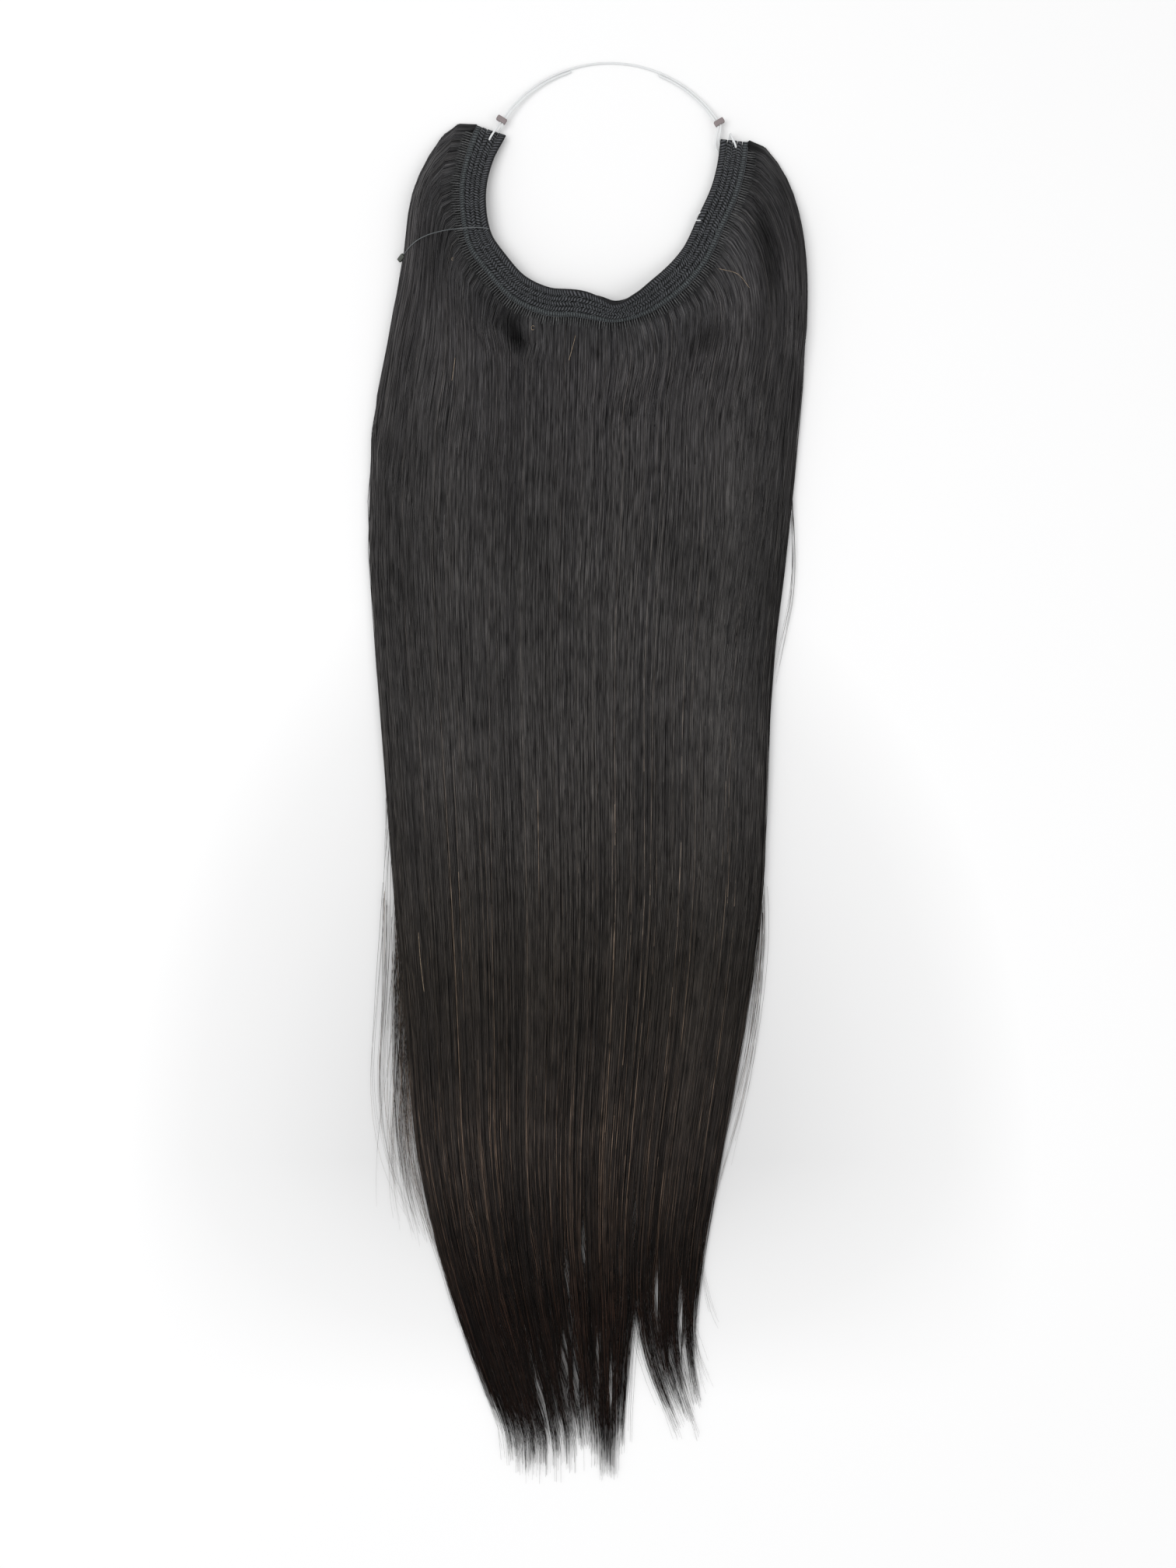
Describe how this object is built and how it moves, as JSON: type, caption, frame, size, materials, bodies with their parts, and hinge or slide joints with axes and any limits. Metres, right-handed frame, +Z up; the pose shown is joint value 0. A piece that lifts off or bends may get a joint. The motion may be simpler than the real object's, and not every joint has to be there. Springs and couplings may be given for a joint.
{
  "type": "halo hair extension",
  "caption": "Long straight dark hair sewn to a U-shaped band of stitched rows, closed to a ring by a clear wire held in crimps, lying flat.",
  "frame": {"origin": "middle of the head opening, on the surface that the hair lies on", "axes": "+Y along the hair from its tips towards the wire, +X to the right as seen from above, +Z up off the surface"},
  "size_m": [0.2384, 0.7541, 0.0157],
  "materials": {
    "band": "matt knitted and stitched rows, slate black",
    "band_header": "matt stitched header row, slate grey",
    "hair": "straight black-brown hair with a soft sheen, browner at the tips",
    "clear_wire": "clear glossy nylon",
    "crimp": "satin grey-brown sleeve",
    "clear_thread": "clear thin nylon",
    "thread_stop": "dark translucent plastic"
  },
  "bodies": {
    "root": {"band_fold": "band", "band_track_1": "band", "band_track_2": "band", "band_track_3": "band", "band_header": "band_header", "hair": "hair", "halo_wire": "clear_wire", "crimp_left": "crimp", "crimp_right": "crimp", "loose_thread": "clear_thread", "thread_stop": "thread_stop"}
  },
  "joints": []
}
